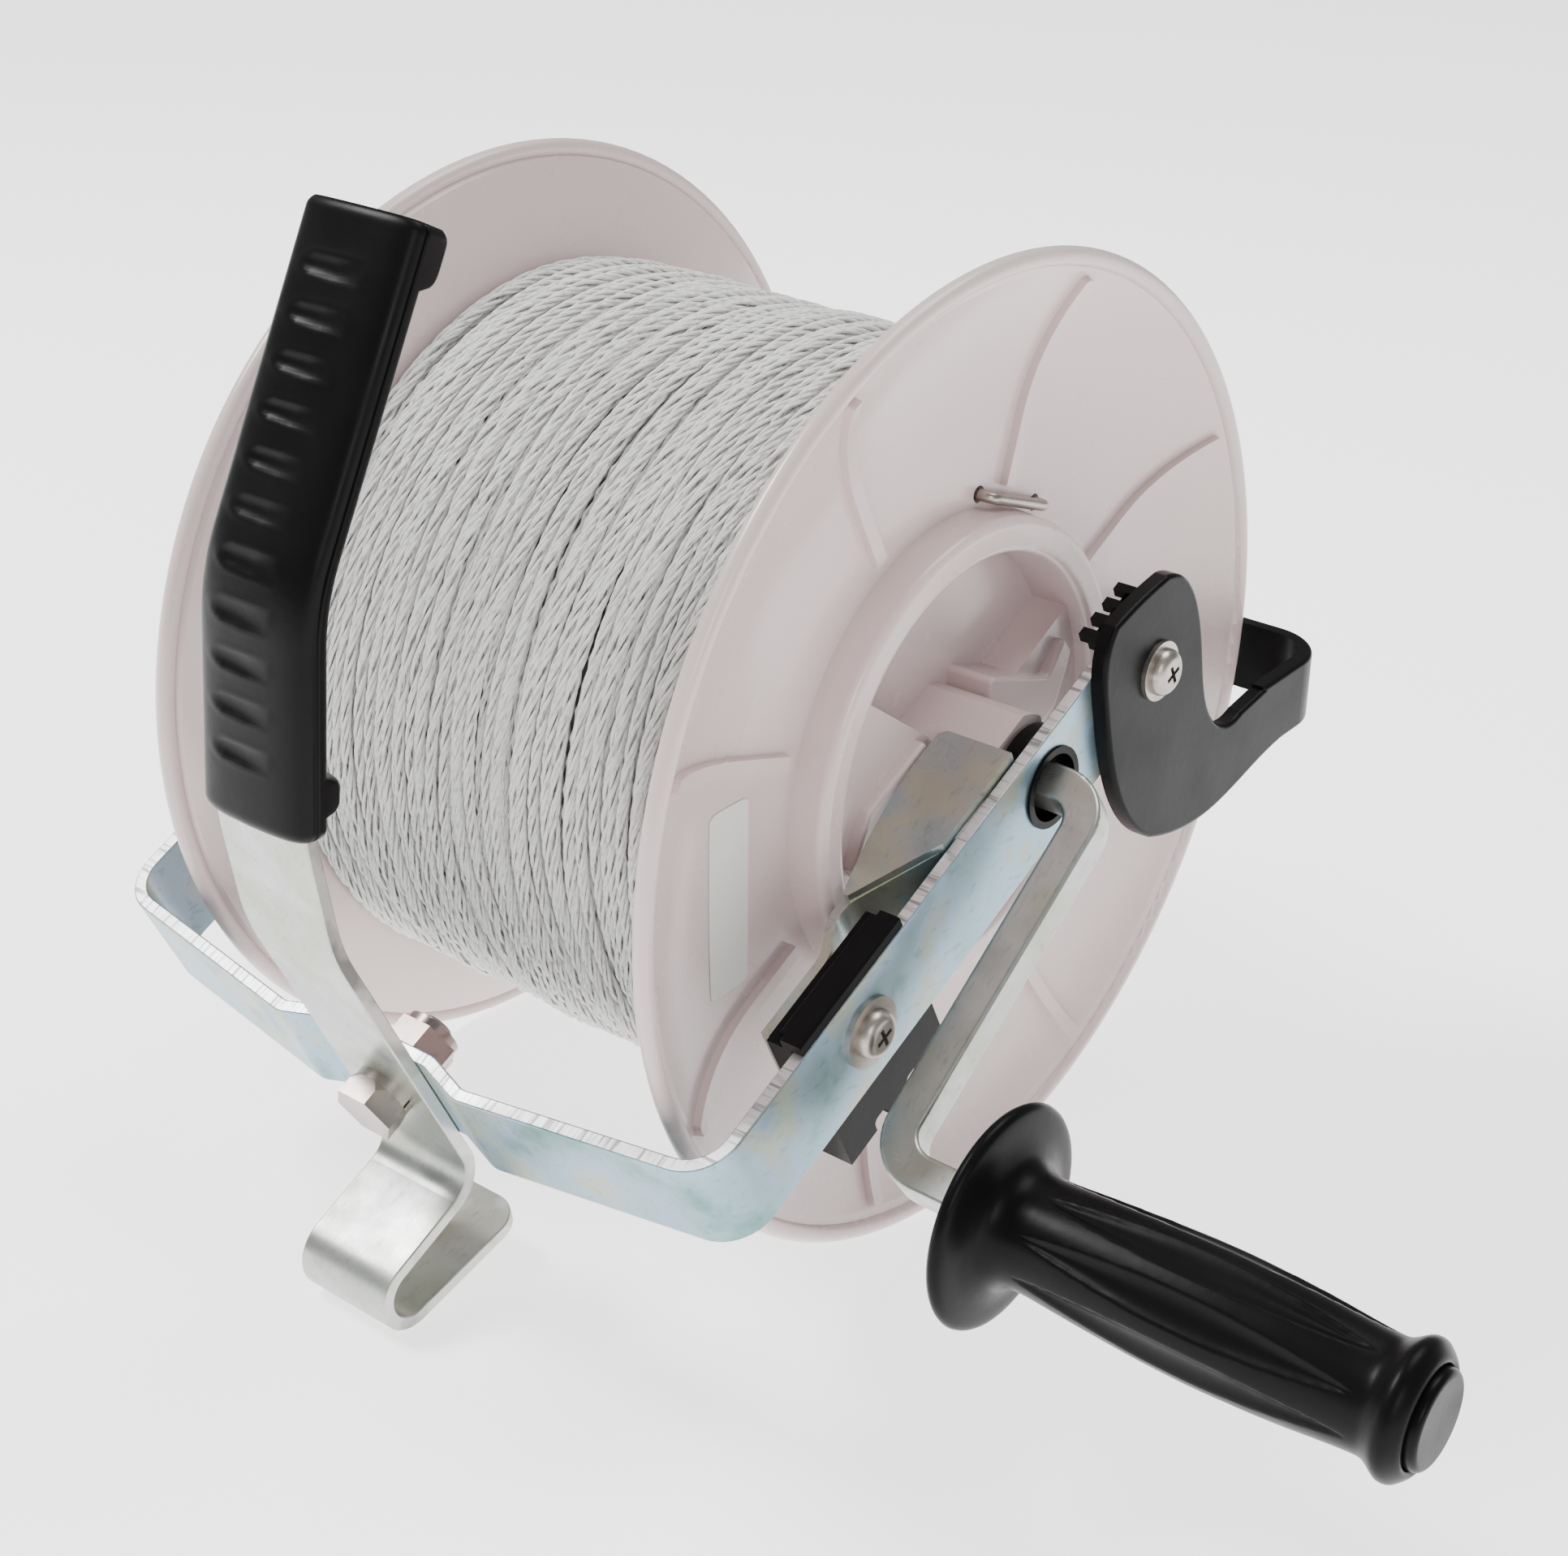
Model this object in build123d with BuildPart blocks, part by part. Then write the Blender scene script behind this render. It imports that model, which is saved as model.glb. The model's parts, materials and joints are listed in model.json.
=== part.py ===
"""Electric-fence polywire reel: a spool on a square crank, in a flat-bar yoke with a carrying
handle, a hanging hook, a sliding lock and a wire guide.  Millimetres, +Z up.

The spool turns about X.  It stands on its two flange rims and on the hook, so the yoke leans.
Places on the yoke are given as (along, across): along the arms from the axle towards the guide,
and across the flat bar's width.
"""

import os
from math import asin, cos, radians, sin

from build123d import *

os.makedirs("parts", exist_ok=True)

# ---- driving dimensions ----------------------------------------------------------------------
tilt = 27.93  # lean of the yoke arms; the hook just touches the ground, degrees
axle_x = -59.3  # places the origin under the middle of the whole object
axle_y = 12.8

# flat bar of the yoke and handle
bar_width = 25.0
bar_thick = 3.0
edge_round = 0.4
bolt_hole = 4.1
screw_hole = 2.6

# yoke
arm_face = 85.0  # outer face of each arm, from mid spool
guide_arm_end = 49.0
plain_arm_end = 17.0
base_corner = -113.6
base_peak_x = 25.5
base_peak = -121.6
pocket_x = 14.5
pocket = -118.15
arm_bend = 9.5
base_bend = 5.0
arm_corner = 4.0

# spool
rim_radius = 107.5
rim_bead = 2.0
rim_side = 66.6  # centre of the rim bead
wall = 2.5
disc_face = 57.5  # outer face of the flat part of a flange
flare_start = 72.0
flare_radius = 56.6
flare_end = 102.0
boss_radius = 52.0
boss_face = 66.0
cup_radius = 44.5
cup_floor = 52.0
barrel_radius = 50.0
sleeve_radius = 9.5
sleeve_end = 30.0
collar_flat = 11.35
collar_corner = 13.1
collar_end = 76.4
dog_face = 63.6
step_face = 61.0
rib_count = 8
rib_width = 3.2
rib_height = 1.8
pack_radius = 84.0
pack_side = 54.6

# crank
rod = 8.0
rod_corner = 1.0
rod_bend = 9.0
crank_radius = 86.0
crank_turn = 190.0  # from the arm direction, degrees
crank_plane = 97.0  # middle of the crank's arm
rod_tail = -95.0
pin_inset = 3.5
pin_radius = 1.2
pin_eye = 2.0
pin_half_length = 7.5
spindle_radius = 4.0
spindle_start = 117.0
spindle_end = 207.5

# bushes
bush_bore = 5.3
bush_body = 9.0
bush_flange = 12.0
bush_flange_thick = 4.0
bush_proud = 0.6
bush_mouth = 7.4
bush_mouth_depth = 3.4

# lock
lock_at = -67.5
lock_travel = 10.0
slider_length = 34.0
plate_thick = 2.0

# guide
guide_thick = 3.6
guide_screw_at = 36.5

# ---- frames of reference ---------------------------------------------------------------------
axle_at = Vector(axle_x, axle_y, rim_radius)
right = Vector(1, 0, 0)
along = Vector(0, cos(radians(tilt)), sin(radians(tilt)))
across = Vector(0, -sin(radians(tilt)), cos(radians(tilt)))
axle = Axis(axle_at, right)
side = Plane(origin=axle_at, x_dir=along, z_dir=right)  # sketch x = along, y = across
plan = Plane(origin=axle_at, x_dir=right, z_dir=across)  # sketch x = X, y = along


def side_at(x):
    """The side view plane at a distance x from mid spool."""
    return side.offset(x)


def radial(angle):
    """Plane through the axle: sketch x = X, y = outwards at an angle from the arm direction."""
    turn = radians(angle)
    outward = along * cos(turn) + across * sin(turn)
    return Plane(origin=axle_at, x_dir=right, z_dir=right.cross(outward))


def spot(x, u, w):
    """A point given as X from mid spool, along and across."""
    return axle_at + right * x + along * u + across * w


def finish(piece, name):
    """Label a finished piece and write its STEP file."""
    piece.part.label = name
    export_step(piece.part, f"parts/{name}.step")


def plain_disc(name, piece_plane, radius, thick, bore):
    """A plain washer standing on a plane."""
    with BuildPart() as disc:
        with BuildSketch(piece_plane):
            Circle(radius)
            Circle(bore, mode=Mode.SUBTRACT)
        extrude(amount=thick)
    finish(disc, name)


# ---- yoke -------------------------------------------------------------------------------------
arm_mid = arm_face - bar_thick / 2

with BuildPart() as yoke_frame:
    with BuildSketch(plan):
        with BuildLine():
            FilletPolyline(
                (arm_mid, guide_arm_end),
                (arm_mid, base_corner),
                (base_peak_x, base_peak),
                (pocket_x, pocket),
                (-pocket_x, pocket),
                (-base_peak_x, base_peak),
                (-arm_mid, base_corner),
                (-arm_mid, plain_arm_end),
                radius=[arm_bend, base_bend, base_bend, base_bend, base_bend, arm_bend],
            )
        trace(line_width=bar_thick)
    extrude(amount=bar_width / 2, both=True)
    arm_ends = yoke_frame.edges().filter_by(Axis(axle_at, right))
    near_corners = arm_ends.group_by(Axis(axle_at, along))[-1]
    fillet(near_corners, radius=arm_corner)
    faces_across = yoke_frame.faces().sort_by(Axis(axle_at, across))
    fillet(faces_across[0].edges() + faces_across[-1].edges(), radius=edge_round)
    with BuildSketch(side_at(-arm_face - 1)):
        Circle(bush_body + 0.05)
    extrude(amount=2 * arm_face + 2, mode=Mode.SUBTRACT)
    with BuildSketch(side_at(arm_face + 1)):
        with Locations((guide_screw_at, 0)):
            Circle(screw_hole)
        with Locations((lock_at, 0)):
            Circle(screw_hole)
    extrude(amount=-bar_thick - 2, mode=Mode.SUBTRACT)
    with BuildSketch(Plane(origin=spot(0, pocket, 0), x_dir=right, z_dir=along)):
        Circle(bolt_hole)
    extrude(amount=bar_thick, both=True, mode=Mode.SUBTRACT)
finish(yoke_frame, "yoke_frame")

# ---- handle strip with its hook ---------------------------------------------------------------
strip_mid = pocket - bar_thick - 0.05
handle_route = [
    (-36.0, 155.4),
    (-90.5, 114.5),
    (-113.1, 77.0),
    (strip_mid, 50.0),
    (strip_mid, -27.0),
    (-147.3, -27.0),
]
handle_bends = [45.0, 60.0, 40.0, 8.0]
hook_out = (-154.3, -34.0)
hook_turn = (-148.5, -40.9)
hook_tip = (-117.0, -46.8)
hook_corner = 7.0

with BuildPart() as handle_strip:
    with BuildSketch(side):
        with BuildLine():
            FilletPolyline(*handle_route, radius=handle_bends)
            ThreePointArc(handle_route[-1], hook_out, hook_turn)
            Line(hook_turn, hook_tip)
        trace(line_width=bar_thick)
    extrude(amount=bar_width / 2, both=True)
    with BuildSketch(Plane(origin=spot(0, strip_mid, 0), x_dir=right, z_dir=along)):
        Circle(bolt_hole)
    extrude(amount=bar_thick, both=True, mode=Mode.SUBTRACT)
    tip_corners = handle_strip.edges().filter_by(GeomType.LINE).group_by(SortBy.LENGTH)[0]
    tip_corners = tip_corners.group_by(Axis(axle_at, across))[0]
    fillet(tip_corners, radius=hook_corner)
    strip_sides = handle_strip.faces().sort_by(Axis(axle_at, right))
    fillet(strip_sides[0].edges() + strip_sides[-1].edges(), radius=edge_round)
finish(handle_strip, "handle_strip")

# ---- handle grip ------------------------------------------------------------------------------
grip_thick = 9.0
grip_half_width = 14.6
grip_edge = 3.5
grip_bend = 45.0
grip_route = [(-35.0, 156.15), (-90.5, 114.5), (-113.8, 75.8)]

with BuildPart() as handle_grip:
    with BuildSketch(side):
        with BuildLine():
            FilletPolyline(*grip_route, radius=grip_bend)
        trace(line_width=grip_thick)
    extrude(amount=grip_half_width, both=True)
    long_edges = handle_grip.edges().filter_by(Axis(axle_at, right), reverse=True)
    fillet(long_edges.group_by(SortBy.LENGTH)[-1], radius=grip_edge)
    with BuildSketch(side):
        with BuildLine():
            FilletPolyline(*handle_route[:4], radius=handle_bends[:2])
        trace(line_width=bar_thick)
    extrude(amount=bar_width / 2, both=True, mode=Mode.SUBTRACT)
finish(handle_grip, "handle_grip")

# ---- yoke bolt --------------------------------------------------------------------------------
bolt_radius = 4.0
hex_flats = 13.0
washer_face = strip_mid - bar_thick / 2
spring_washer = 2.0
head_thick = 5.4
nut_thick = 7.6
nut_collar = 2.0
yoke_inside = pocket + bar_thick / 2


def bolt_plane(u):
    """A plane square to the yoke bolt, facing the spool."""
    return Plane(origin=spot(0, u, 0), x_dir=right, z_dir=along)


with BuildPart() as yoke_bolt:
    with BuildSketch(bolt_plane(washer_face - spring_washer)):
        RegularPolygon(hex_flats / 2, 6, major_radius=False)
    extrude(amount=-head_thick)
    with BuildSketch(bolt_plane(washer_face - spring_washer)):
        Circle(hex_flats / 2 + 0.25)
    extrude(amount=-head_thick, taper=-22, mode=Mode.INTERSECT)
    with BuildSketch(bolt_plane(washer_face - spring_washer)):
        Circle(bolt_radius)
    extrude(amount=spring_washer + 2 * bar_thick + nut_thick + nut_collar + 1.5)
    chamfer(yoke_bolt.faces().sort_by(Axis(axle_at, along))[-1].edges(), 0.7)
finish(yoke_bolt, "yoke_bolt")

with BuildPart() as yoke_spring_washer:
    with BuildSketch(bolt_plane(washer_face - spring_washer)):
        Circle(6.6)
        Circle(bolt_radius + 0.05, mode=Mode.SUBTRACT)
        with Locations((5.5, 0)):
            Rectangle(4.0, 0.8, rotation=20, mode=Mode.SUBTRACT)
    extrude(amount=spring_washer)
finish(yoke_spring_washer, "yoke_spring_washer")

with BuildPart() as yoke_nut:
    with BuildSketch(bolt_plane(yoke_inside)):
        RegularPolygon(hex_flats / 2, 6, major_radius=False)
    extrude(amount=nut_thick)
    with BuildSketch(bolt_plane(yoke_inside + nut_thick)):
        Circle(hex_flats / 2 - 0.4)
    extrude(amount=nut_collar)
    with BuildSketch(bolt_plane(yoke_inside)):
        Circle(bolt_radius + 0.02)
    extrude(amount=nut_thick + nut_collar, mode=Mode.SUBTRACT)
    with BuildSketch(bolt_plane(yoke_inside + nut_thick)):
        Circle(5.4)
    extrude(amount=nut_collar - 0.5, mode=Mode.SUBTRACT)
finish(yoke_nut, "yoke_nut")

ring_plane = bolt_plane(yoke_inside + nut_thick)
plain_disc("yoke_nut_ring", ring_plane, 5.35, nut_collar - 0.5, bolt_radius + 0.02)

# ---- axle bushes ------------------------------------------------------------------------------


def bush(name, inward):
    """A flanged bush pushed into an arm from inside: body, flange, bore."""
    tip = -inward * (arm_face + bush_proud)
    body_length = bush_proud + bar_thick + 0.02
    with BuildPart() as piece:
        with BuildSketch(side_at(tip)):
            Circle(bush_body)
        extrude(amount=inward * body_length)
        with BuildSketch(side_at(tip + inward * body_length)):
            Circle(bush_flange)
        extrude(amount=inward * bush_flange_thick)
        fillet(piece.edges().filter_by(GeomType.CIRCLE).sort_by(SortBy.LENGTH)[-2:], radius=0.6)
        with BuildSketch(side_at(tip)):
            Circle(bush_bore)
        extrude(amount=inward * (body_length + bush_flange_thick), mode=Mode.SUBTRACT)
        with BuildSketch(side_at(tip)):
            Circle(bush_mouth)
        extrude(amount=inward * bush_mouth_depth, mode=Mode.SUBTRACT)
    finish(piece, name)


bush("near_bush", -1)
bush("far_bush", 1)

# ---- spool ------------------------------------------------------------------------------------
flare_sweep = asin((flare_end - flare_start) / flare_radius)
flare_x = disc_face + flare_radius * (1 - cos(flare_sweep))
inner_radius = flare_radius + wall
inner_flare_x = disc_face + flare_radius - inner_radius * cos(flare_sweep)
inner_flare_end = flare_start + inner_radius * sin(flare_sweep)
disc_back = disc_face - wall
cup_back = cup_floor - wall
socket_side = rod + 0.1

dog_outline = [(9.5, 1), (13.8, 10.4), (30.4, -5.9), (38.6, -1.8), (39.8, -7), (30, -15), (9.5, -15)]
step_from = 118.0
step_to = 182.0
staple_angles = (32.0, 55.0)
staple_radius = 55.3
staple_wire = 1.25

rib_inner = 57.0

with BuildPart() as flange_rib:
    with BuildSketch(radial(0)):
        with BuildLine():
            Polyline(
                (disc_face - 1, rib_inner),
                (disc_face + rib_height, rib_inner),
                (disc_face + rib_height, flare_start),
            )
            TangentArc(
                (disc_face + rib_height, flare_start),
                (flare_x + rib_height * 0.8, flare_end - 0.9),
                tangent=(0, 1),
            )
            Line((flare_x + rib_height * 0.8, flare_end - 0.9), (flare_x - 0.8, flare_end - 0.3))
            TangentArc((disc_face - 1, flare_start), (flare_x - 0.8, flare_end - 0.3), tangent=(0, 1))
            Line((disc_face - 1, flare_start), (disc_face - 1, rib_inner))
        make_face()
    extrude(amount=rib_width / 2, both=True)
    rib_crests = flange_rib.edges().filter_by(Axis(axle_at, across), reverse=True)
    fillet(rib_crests.group_by(Axis(axle_at, right))[-1], radius=0.9)

with BuildPart() as drive_dog:
    with BuildSketch(side_at(cup_floor - 0.5)):
        Polygon(*dog_outline, align=None)
    extrude(amount=dog_face - cup_floor + 0.5)
    fillet(drive_dog.edges().filter_by(Axis(axle_at, right)), radius=1.2)
    fillet(drive_dog.faces().sort_by(Axis(axle_at, right))[-1].edges(), radius=0.9)

with BuildPart() as near_flange:
    # dished disc, boss, cup and the sleeve on the axle, all round
    with BuildSketch(plan):
        with BuildLine():
            Polyline((sleeve_end, 0), (cup_floor, 0), (cup_floor, cup_radius), (boss_face, cup_radius))
            Polyline((boss_face, cup_radius), (boss_face, boss_radius), (disc_face, boss_radius + 0.6))
            Line((disc_face, boss_radius + 0.6), (disc_face, flare_start))
            TangentArc((disc_face, flare_start), (flare_x, flare_end), tangent=(0, 1))
            Line((flare_x, flare_end), (rim_side + 1.2, rim_radius - rim_bead))
            Line((rim_side + 1.2, rim_radius - rim_bead), (inner_flare_x, inner_flare_end))
            TangentArc((disc_back, flare_start), (inner_flare_x, inner_flare_end), tangent=(0, 1))
            Line((disc_back, flare_start), (disc_back, boss_radius - wall))
            Polyline(
                (disc_back, boss_radius - wall),
                (boss_face - wall, boss_radius - wall),
                (boss_face - wall, cup_radius + wall),
                (cup_back, cup_radius + wall),
                (cup_back, sleeve_radius),
                (sleeve_end, sleeve_radius),
                (sleeve_end, 0),
            )
        make_face()
        with Locations((rim_side, rim_radius - rim_bead)):
            Circle(rim_bead)
    revolve(axis=axle)
    boss_rim = near_flange.faces().filter_by(Plane.YZ).sort_by(Axis(axle_at, right))[-1].edges()
    fillet(boss_rim, radius=2.2)
    # squared collar that the lock plate slides over
    with BuildSketch(side_at(cup_floor)):
        Rectangle(2 * collar_flat, 2 * collar_flat)
        Circle(collar_corner, mode=Mode.INTERSECT)
    extrude(amount=collar_end - cup_floor)
    # drive dogs and steps in the cup, twice round
    for half_turn in (0, 180):
        add(drive_dog.part.rotate(axle, half_turn))
        with BuildSketch(side_at(cup_floor - 0.5)):
            with BuildLine(Plane.XY.rotated((0, 0, half_turn))):
                step_start = PolarLine((0, 0), cup_radius + 0.5, angle=step_from)
                step_arc = CenterArc((0, 0), cup_radius + 0.5, step_from, step_to - step_from)
                Line(step_arc @ 1, (0, 0))
            make_face()
        extrude(amount=step_face - cup_floor + 0.5)
    # curved ribs that follow the dished face
    for k in range(rib_count):
        add(flange_rib.part.rotate(axle, 360 * k / rib_count + 1))
    # square socket for the crank, and the two holes of the wire staple
    with BuildSketch(side_at(sleeve_end - 1)):
        Rectangle(socket_side, socket_side, rotation=crank_turn)
    extrude(amount=collar_end - sleeve_end + 2, mode=Mode.SUBTRACT)
    with BuildSketch(side_at(disc_back - 1)):
        for angle in staple_angles:
            with Locations(Vector(staple_radius, 0).rotate(Axis.Z, angle)):
                Circle(staple_wire + 0.6)
    extrude(amount=wall + rib_height + 2, mode=Mode.SUBTRACT)
finish(near_flange, "near_flange")

with BuildPart() as far_flange:
    add(near_flange.part.rotate(Axis(axle_at, radial(crank_turn).y_dir), 180))
finish(far_flange, "far_flange")

with BuildPart() as spool_barrel:
    with BuildSketch(side_at(0)):
        Circle(barrel_radius)
        Circle(cup_radius + wall + 0.05, mode=Mode.SUBTRACT)
    extrude(amount=disc_back - 0.02, both=True)
finish(spool_barrel, "spool_barrel")

with BuildPart() as wire_pack:
    with BuildSketch(side_at(0)):
        Circle(pack_radius)
        Circle(barrel_radius + 0.1, mode=Mode.SUBTRACT)
    extrude(amount=pack_side, both=True)
finish(wire_pack, "wire_pack")

# ---- wire staple ------------------------------------------------------------------------------
staple_left = Vector(staple_radius, 0).rotate(Axis.Z, staple_angles[0])
staple_right = Vector(staple_radius, 0).rotate(Axis.Z, staple_angles[1])
staple_out = disc_face + 3.2

with BuildPart() as wire_staple:
    with BuildLine():
        FilletPolyline(
            spot(disc_back, staple_left.X, staple_left.Y),
            spot(staple_out, staple_left.X, staple_left.Y),
            spot(staple_out, staple_right.X, staple_right.Y),
            spot(disc_back, staple_right.X, staple_right.Y),
            radius=2.0,
        )
    with BuildSketch(Plane(origin=spot(disc_back, staple_left.X, staple_left.Y), z_dir=right)):
        Circle(staple_wire)
    sweep()
finish(wire_staple, "wire_staple")

# ---- crank ------------------------------------------------------------------------------------
crank_side = radial(crank_turn)
spindle = Axis(crank_side.from_local_coords((0, crank_radius, 0)), right)

with BuildPart() as crank:
    with BuildLine(crank_side):
        FilletPolyline(
            (rod_tail, 0),
            (crank_plane, 0),
            (crank_plane, crank_radius),
            (spindle_start, crank_radius),
            radius=rod_bend,
        )
    with BuildSketch(Plane(origin=spot(rod_tail, 0, 0), x_dir=crank_side.y_dir, z_dir=right)):
        RectangleRounded(rod, rod, rod_corner)
    sweep()
    with BuildSketch(Plane(origin=spindle.position + right * spindle_start, z_dir=right)):
        Circle(spindle_radius)
    extrude(amount=spindle_end - spindle_start)
    # cross hole for the split pin at the plain end
    with BuildSketch(crank_side.offset(-rod)):
        with Locations((rod_tail + pin_inset, 0)):
            Circle(pin_radius + 0.1)
    extrude(amount=2 * rod, mode=Mode.SUBTRACT)
finish(crank, "crank")

plain_disc("axle_washer", side_at(-arm_face - 2.3), 9.0, 1.5, bush_bore + 0.1)

with BuildPart() as split_pin:
    with BuildSketch(crank_side.offset(-pin_half_length)):
        with Locations((rod_tail + pin_inset, 0)):
            Circle(pin_radius)
    extrude(amount=2 * pin_half_length)
    with BuildSketch(crank_side.offset(pin_half_length)):
        with Locations((rod_tail + pin_inset, 0)):
            Circle(pin_eye)
    extrude(amount=2 * pin_radius)
finish(split_pin, "split_pin")

# ---- crank grip -------------------------------------------------------------------------------
grip_face = 119.5
grip_tip = 211.8
push_nut_at = 205.8
cap_inside = 208.6
cap_face = 213.6
cap_radius = 9.55


def grip_at(x, r):
    """A point of the grip's outline on the crank's radial plane."""
    return (x, crank_radius + r)


with BuildPart() as crank_grip:
    with BuildSketch(crank_side):
        with BuildLine():
            Polyline(
                grip_at(grip_face, spindle_radius + 0.05),
                grip_at(grip_face, 9.0),
                grip_at(121.8, 21.6),
            )
            ThreePointArc(grip_at(121.8, 21.6), grip_at(123.6, 23.0), grip_at(125.0, 21.4))
            Spline(
                grip_at(125.0, 21.4),
                grip_at(127.2, 12.6),
                grip_at(132.0, 11.3),
                tangents=[(0.05, -1), (1, 0.1)],
            )
            Spline(
                grip_at(132.0, 11.3),
                grip_at(168.0, 13.1),
                grip_at(203.5, 11.0),
                tangents=[(1, 0.1), (1, -0.1)],
            )
            Polyline(
                grip_at(203.5, 11.0),
                grip_at(207.8, 13.6),
                grip_at(210.2, 12.8),
                grip_at(grip_tip, 10.8),
                grip_at(grip_tip, 9.6),
                grip_at(205.5, 9.6),
                grip_at(205.5, spindle_radius + 0.05),
                grip_at(grip_face, spindle_radius + 0.05),
            )
        make_face()
    revolve(axis=spindle)
finish(crank_grip, "crank_grip")

push_nut_plane = Plane(origin=spindle.position + right * push_nut_at, z_dir=right)
plain_disc("grip_push_nut", push_nut_plane, 8.0, 1.0, spindle_radius)

with BuildPart() as grip_cap:
    with BuildSketch(Plane(origin=spindle.position + right * cap_inside, z_dir=right)):
        Circle(cap_radius)
    extrude(amount=cap_face - cap_inside)
    fillet(grip_cap.edges().sort_by(Axis(axle_at, right))[-1], radius=1.4)
finish(grip_cap, "grip_cap")

# ---- lock -------------------------------------------------------------------------------------
screw_radius = 2.5
slot_width = 5.4
pan_radius = 5.2
pan_thick = 2.8
washer_thick = 1.0
nut_flats = 8.0
lock_screw_tip = 67.0
lock_nut_inside = 69.3
lock_nut_outside = 73.3
guide_screw_tip = 76.0
guide_nut_inside = 78.0
arm_inside = arm_face - bar_thick
slider_end = lock_at + 17.5
slider_mid = slider_end - slider_length / 2
thumb_inside = 77.0
thumb_outside = 84.6
slider_inside = 75.8
slider_outside = 81.8
plate_near = 70.2  # middle of the plate where it bows away from the arm
plate_rest = 74.6  # middle of the plate behind the slider
web_end = -27.0
wing_end = -5.0
wing_inside = 64.4
wing_base = bar_width / 2 + 0.1


def pan_screw(name, u, seat, tip):
    """A pan-head screw along X with its head outside, standing on the arm at u."""
    with BuildPart() as screw:
        with BuildSketch(side_at(seat)):
            with Locations((u, 0)):
                Circle(pan_radius)
        extrude(amount=pan_thick)
        fillet(screw.edges().sort_by(Axis(axle_at, right))[-1], radius=2.4)
        with BuildSketch(side_at(tip)):
            with Locations((u, 0)):
                Circle(screw_radius)
        extrude(amount=seat - tip)
        with BuildSketch(side_at(seat + pan_thick)):
            with Locations((u, 0)):
                Rectangle(4.6, 1.0)
                Rectangle(1.0, 4.6)
        extrude(amount=-1.8, mode=Mode.SUBTRACT)
    finish(screw, name)


def hex_nut(name, u, inside, outside):
    """A hexagon nut on a screw along X."""
    with BuildPart() as nut:
        with BuildSketch(side_at(inside)):
            with Locations((u, 0)):
                RegularPolygon(nut_flats / 2, 6, major_radius=False)
                Circle(screw_radius, mode=Mode.SUBTRACT)
        extrude(amount=outside - inside)
    finish(nut, name)


def arm_washer(name, u, seat, radius, thick):
    """A plain washer lying on the arm at u."""
    with BuildPart() as washer:
        with BuildSketch(side_at(seat)):
            with Locations((u, 0)):
                Circle(radius)
                Circle(screw_radius + 0.1, mode=Mode.SUBTRACT)
        extrude(amount=thick)
    finish(washer, name)


arm_washer("lock_washer", lock_at, arm_face, 7.6, washer_thick)
pan_screw("lock_screw", lock_at, arm_face + washer_thick, lock_screw_tip)
hex_nut("lock_nut", lock_at, lock_nut_inside, lock_nut_outside)

with BuildPart() as lock_slider:
    with BuildSketch(plan):
        with Locations(((slider_inside + slider_outside) / 2, slider_mid)):
            Rectangle(slider_outside - slider_inside, slider_length)
    extrude(amount=bar_width / 2 + 0.2, both=True)
    # lip over the arm's upper edge
    with BuildSketch(plan.offset(bar_width / 2 + 0.2)):
        with Locations((82.3, slider_mid)):
            Rectangle(5.0, slider_length)
        with Locations((79.6, slider_mid)):
            Rectangle(2.0, slider_length - 3.0)
    extrude(amount=2.6)
    # thumb piece below the arm, with two grip notches
    with BuildSketch(side_at(thumb_inside)):
        with Locations((slider_mid, -bar_width / 2 - 6.3)):
            Rectangle(slider_length, 12.4)
        for part in (1 / 3, 2 / 3):
            with Locations((slider_end - slider_length * part, -bar_width)):
                RectangleRounded(4.4, 5.6, 1.4, mode=Mode.SUBTRACT)
    extrude(amount=thumb_outside - thumb_inside)
    lip_edges = lock_slider.edges().filter_by(Axis(axle_at, along)).group_by(Axis(axle_at, across))
    fillet(lip_edges[-1], radius=0.6)
    # slot for the screw
    with BuildSketch(side_at(slider_inside - 1)):
        with Locations((lock_at - lock_travel / 2, 0)):
            SlotOverall(lock_travel + slot_width + 0.4, slot_width)
    extrude(amount=slider_outside - slider_inside + 2, mode=Mode.SUBTRACT)
finish(lock_slider, "lock_slider")

plate_route = [
    (plate_rest, slider_end - slider_length + 1),
    (plate_rest, lock_at + 5.0),
    (plate_near, slider_end - 4.0),
    (plate_near + 0.6, slider_end + 1.0),
    (slider_outside - plate_thick / 2, web_end - 3.5),
    (slider_outside - plate_thick / 2, web_end),
]

with BuildPart() as lock_plate:
    with BuildSketch(plan):
        with BuildLine():
            FilletPolyline(*plate_route, radius=[9.0, 7.0, 7.0, 8.0])
        trace(line_width=plate_thick)
    extrude(amount=wing_base, both=True)
    # turned wing that reaches over the collar
    with BuildSketch(plan.offset(wing_base - 0.4)):
        with BuildLine():
            Polyline((slider_outside, wing_end), (wing_inside + 1.5, wing_end), (wing_inside, wing_end - 1.5))
            Line((wing_inside, wing_end - 1.5), (wing_inside, web_end + 10))
            ThreePointArc((wing_inside, web_end + 10), (66.2, web_end - 5), (plate_near, slider_end + 0.6))
            Polyline(
                (plate_near, slider_end + 0.6),
                (plate_near + 1.2, slider_end + 0.6),
                (slider_outside, web_end - 3.6),
                (slider_outside, wing_end),
            )
        make_face()
    extrude(amount=0.4 + plate_thick)
    with BuildSketch(side_at(plate_near - 2)):
        with Locations((lock_at - lock_travel / 2, 0)):
            SlotOverall(lock_travel + slot_width + 0.4, slot_width)
    extrude(amount=8.0, mode=Mode.SUBTRACT)
finish(lock_plate, "lock_plate")

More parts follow.
